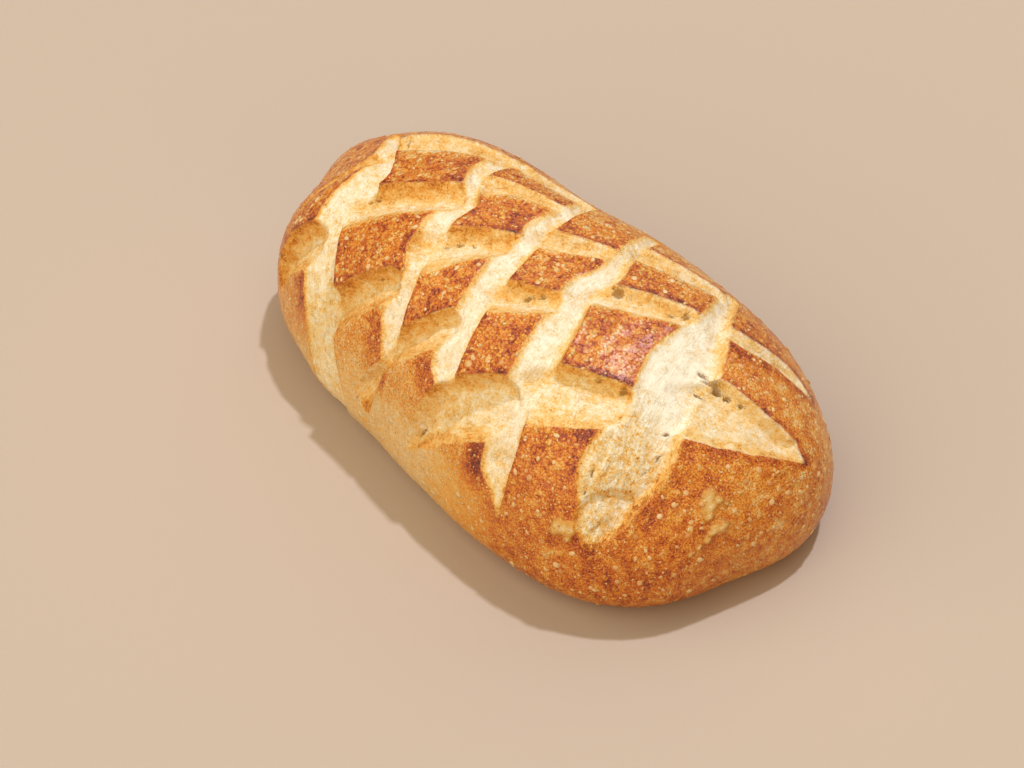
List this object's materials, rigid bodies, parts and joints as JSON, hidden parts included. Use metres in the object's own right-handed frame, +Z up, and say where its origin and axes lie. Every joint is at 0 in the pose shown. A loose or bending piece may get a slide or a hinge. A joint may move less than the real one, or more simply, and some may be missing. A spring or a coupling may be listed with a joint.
{
  "type": "bread loaf",
  "caption": "Uncut oval vienna loaf of sourdough with a flat sole, a domed crown scored in a slanting lattice, and raised crust plates between the opened cuts",
  "frame": {"origin": "on the sole, under the middle of the loaf's box", "axes": "+X along the loaf to its fuller end, +Y across it, +Z up out of the crown"},
  "size_m": [0.2908, 0.1546, 0.1019],
  "materials": {
    "crust": "baked crust, dry, faint shine"
  },
  "bodies": {
    "root": {"loaf": "crust"}
  },
  "joints": []
}
